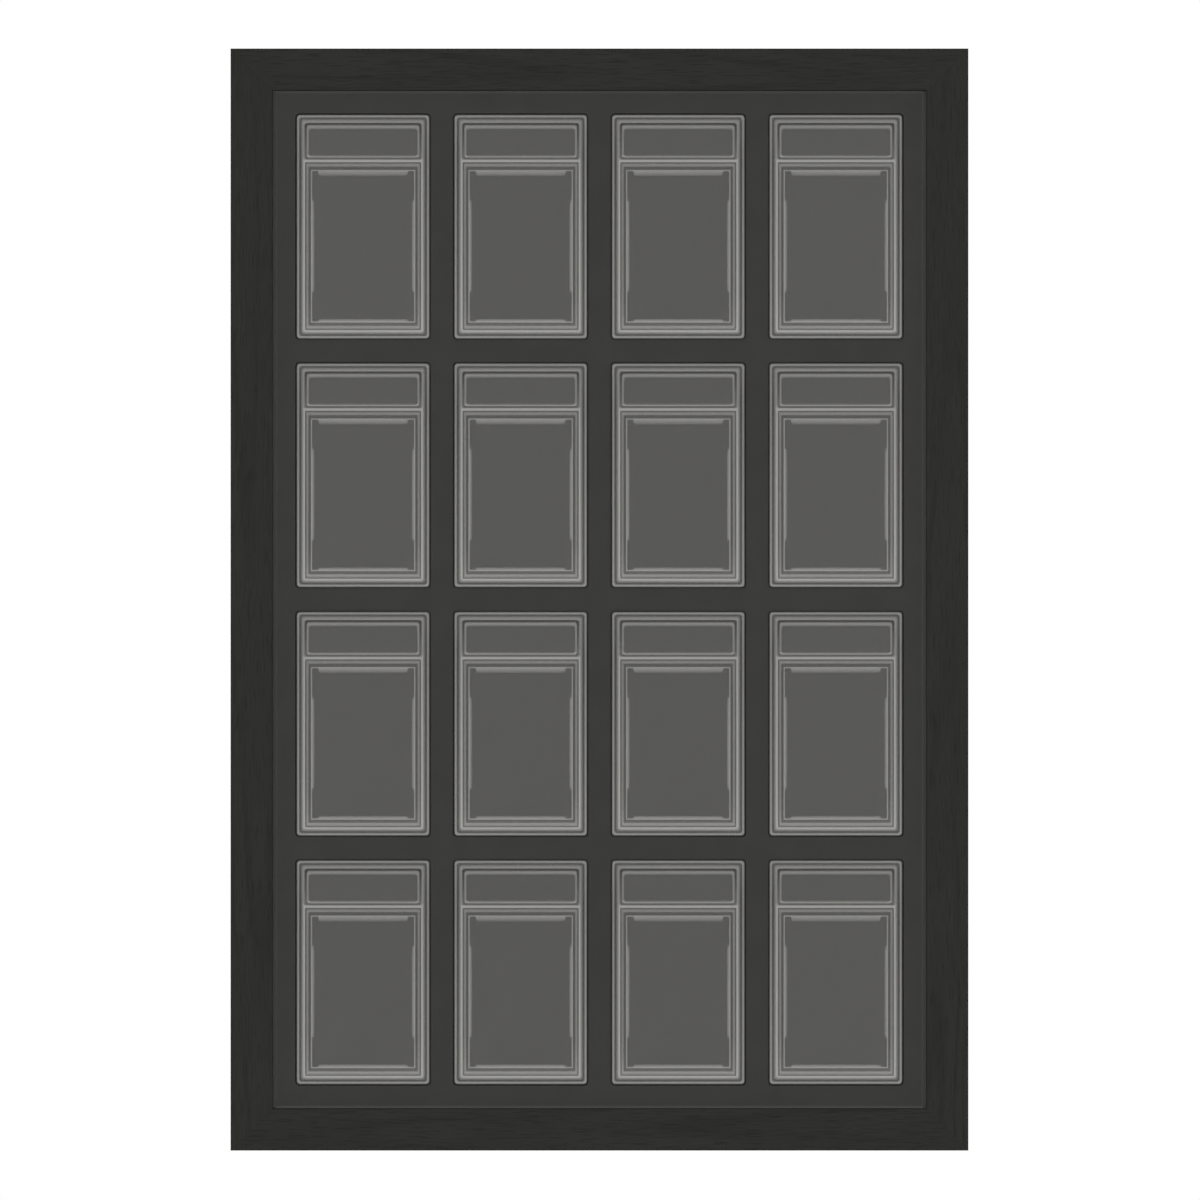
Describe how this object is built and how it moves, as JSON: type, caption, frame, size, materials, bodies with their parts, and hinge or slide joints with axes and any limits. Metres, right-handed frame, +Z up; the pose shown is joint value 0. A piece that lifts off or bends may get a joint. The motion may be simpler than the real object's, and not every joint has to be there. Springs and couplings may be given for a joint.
{
  "type": "graded card display frame",
  "caption": "Mitred black wood wall frame that shows a grid of clear graded card slabs in a charcoal mat, loaded from the back behind turn buttons.",
  "frame": {"origin": "centre of the whole depth and width at the frame's lower edge", "axes": "+Z up along the stiles, +X to the right along the rails as seen from the front, and the front faces -Y, so +Y points to the wall"},
  "size_m": [0.4488, 0.024, 0.6704],
  "materials": {
    "black_stained_wood": "satin",
    "zinc_plated_steel": "satin",
    "clear_acrylic": "polished",
    "charcoal_mat_board": "matte",
    "black_foam": "matte",
    "hardboard": "matte",
    "clear_slab_plastic": "gloss",
    "black_rubber": "matte"
  },
  "bodies": {
    "frame": {"rail_top": "black_stained_wood", "rail_bottom": "black_stained_wood", "stile_left": "black_stained_wood", "stile_right": "black_stained_wood", "corner_v_nails": "zinc_plated_steel", "glazing_sheet": "clear_acrylic", "face_mat": "charcoal_mat_board", "slab_insert": "black_foam", "pocket_liner": "charcoal_mat_board", "backing_board": "hardboard", "turn_button_screws": "zinc_plated_steel", "hanger_strap_left": "zinc_plated_steel", "wall_bumper_left": "black_rubber", "hanger_strap_right": "zinc_plated_steel", "wall_bumper_right": "black_rubber", "hanger_screws": "zinc_plated_steel", "slab_front_r1c1": "clear_slab_plastic", "slab_front_r1c2": "clear_slab_plastic", "slab_front_r1c3": "clear_slab_plastic", "slab_front_r1c4": "clear_slab_plastic", "slab_front_r2c1": "clear_slab_plastic", "slab_front_r2c2": "clear_slab_plastic", "slab_front_r2c3": "clear_slab_plastic", "slab_front_r2c4": "clear_slab_plastic", "slab_front_r3c1": "clear_slab_plastic", "slab_front_r3c2": "clear_slab_plastic", "slab_front_r3c3": "clear_slab_plastic", "slab_front_r3c4": "clear_slab_plastic", "slab_front_r4c1": "clear_slab_plastic", "slab_front_r4c2": "clear_slab_plastic", "slab_front_r4c3": "clear_slab_plastic", "slab_front_r4c4": "clear_slab_plastic", "slab_back_r1c1": "clear_slab_plastic", "slab_back_r1c2": "clear_slab_plastic", "slab_back_r1c3": "clear_slab_plastic", "slab_back_r1c4": "clear_slab_plastic", "slab_back_r2c1": "clear_slab_plastic", "slab_back_r2c2": "clear_slab_plastic", "slab_back_r2c3": "clear_slab_plastic", "slab_back_r2c4": "clear_slab_plastic", "slab_back_r3c1": "clear_slab_plastic", "slab_back_r3c2": "clear_slab_plastic", "slab_back_r3c3": "clear_slab_plastic", "slab_back_r3c4": "clear_slab_plastic", "slab_back_r4c1": "clear_slab_plastic", "slab_back_r4c2": "clear_slab_plastic", "slab_back_r4c3": "clear_slab_plastic", "slab_back_r4c4": "clear_slab_plastic"},
    "turn_button_bottom_1": {"turn_button_bottom_1": "zinc_plated_steel"},
    "turn_button_bottom_2": {"turn_button_bottom_2": "zinc_plated_steel"},
    "turn_button_left_1": {"turn_button_left_1": "zinc_plated_steel"},
    "turn_button_left_2": {"turn_button_left_2": "zinc_plated_steel"},
    "turn_button_left_3": {"turn_button_left_3": "zinc_plated_steel"},
    "turn_button_right_1": {"turn_button_right_1": "zinc_plated_steel"},
    "turn_button_right_2": {"turn_button_right_2": "zinc_plated_steel"},
    "turn_button_right_3": {"turn_button_right_3": "zinc_plated_steel"},
    "turn_button_top_1": {"turn_button_top_1": "zinc_plated_steel"},
    "turn_button_top_2": {"turn_button_top_2": "zinc_plated_steel"},
    "hanger_ring_left": {"hanger_ring_left": "zinc_plated_steel"},
    "hanger_ring_right": {"hanger_ring_right": "zinc_plated_steel"}
  },
  "joints": [
    {"name": "turn_button_bottom_1_turn", "type": "hinge", "parent": "frame", "child": "turn_button_bottom_1", "pos_m": [-0.09945, 0.00773, 0.00958], "axis": [0, 1, 0], "continuous": true},
    {"name": "turn_button_bottom_2_turn", "type": "hinge", "parent": "frame", "child": "turn_button_bottom_2", "pos_m": [0.09945, 0.00773, 0.00958], "axis": [0, 1, 0], "continuous": true},
    {"name": "turn_button_left_1_turn", "type": "hinge", "parent": "frame", "child": "turn_button_left_1", "pos_m": [-0.21482, 0.00773, 0.54167], "axis": [0, 1, 0], "continuous": true},
    {"name": "turn_button_left_2_turn", "type": "hinge", "parent": "frame", "child": "turn_button_left_2", "pos_m": [-0.21482, 0.00773, 0.3352], "axis": [0, 1, 0], "continuous": true},
    {"name": "turn_button_left_3_turn", "type": "hinge", "parent": "frame", "child": "turn_button_left_3", "pos_m": [-0.21482, 0.00773, 0.12873], "axis": [0, 1, 0], "continuous": true},
    {"name": "turn_button_right_1_turn", "type": "hinge", "parent": "frame", "child": "turn_button_right_1", "pos_m": [0.21482, 0.00773, 0.54167], "axis": [0, 1, 0], "continuous": true},
    {"name": "turn_button_right_2_turn", "type": "hinge", "parent": "frame", "child": "turn_button_right_2", "pos_m": [0.21482, 0.00773, 0.3352], "axis": [0, 1, 0], "continuous": true},
    {"name": "turn_button_right_3_turn", "type": "hinge", "parent": "frame", "child": "turn_button_right_3", "pos_m": [0.21482, 0.00773, 0.12873], "axis": [0, 1, 0], "continuous": true},
    {"name": "turn_button_top_1_turn", "type": "hinge", "parent": "frame", "child": "turn_button_top_1", "pos_m": [-0.09945, 0.00773, 0.66082], "axis": [0, 1, 0], "continuous": true},
    {"name": "turn_button_top_2_turn", "type": "hinge", "parent": "frame", "child": "turn_button_top_2", "pos_m": [0.09945, 0.00773, 0.66082], "axis": [0, 1, 0], "continuous": true},
    {"name": "hanger_ring_left_swing", "type": "hinge", "parent": "frame", "child": "hanger_ring_left", "pos_m": [-0.21482, 0.00911, 0.46343], "axis": [1, 0, 0], "range_deg": [0, 180]},
    {"name": "hanger_ring_right_swing", "type": "hinge", "parent": "frame", "child": "hanger_ring_right", "pos_m": [0.21482, 0.00911, 0.46343], "axis": [1, 0, 0], "range_deg": [0, 180]}
  ]
}
